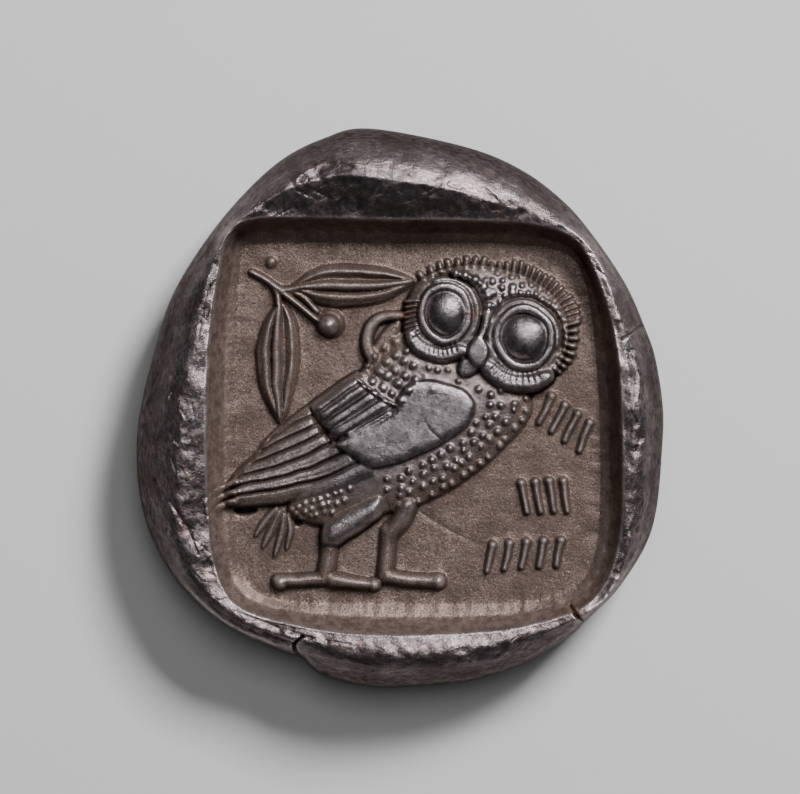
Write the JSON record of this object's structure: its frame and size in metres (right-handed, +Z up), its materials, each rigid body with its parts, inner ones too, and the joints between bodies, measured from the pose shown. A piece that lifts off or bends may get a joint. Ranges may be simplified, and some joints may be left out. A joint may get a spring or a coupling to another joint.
{
  "type": "ancient silver coin",
  "caption": "Thick hand-struck silver coin: an owl, olive sprig and crescent in a sunk square, and a worn helmeted head on the domed underside.",
  "frame": {"origin": "middle of the coin's outline, on the surface that the worn underside rests on", "axes": "+Z up out of the owl side, +Y towards the top of the owl's head, +X to the owl's right as seen from above"},
  "size_m": [0.024, 0.0254, 0.0065],
  "materials": {
    "toned_silver": "toned, hand-worn silver: dark brown-grey in the recesses and paler on the raised relief and lips"
  },
  "bodies": {
    "root": {"coin": "toned_silver"}
  },
  "joints": []
}
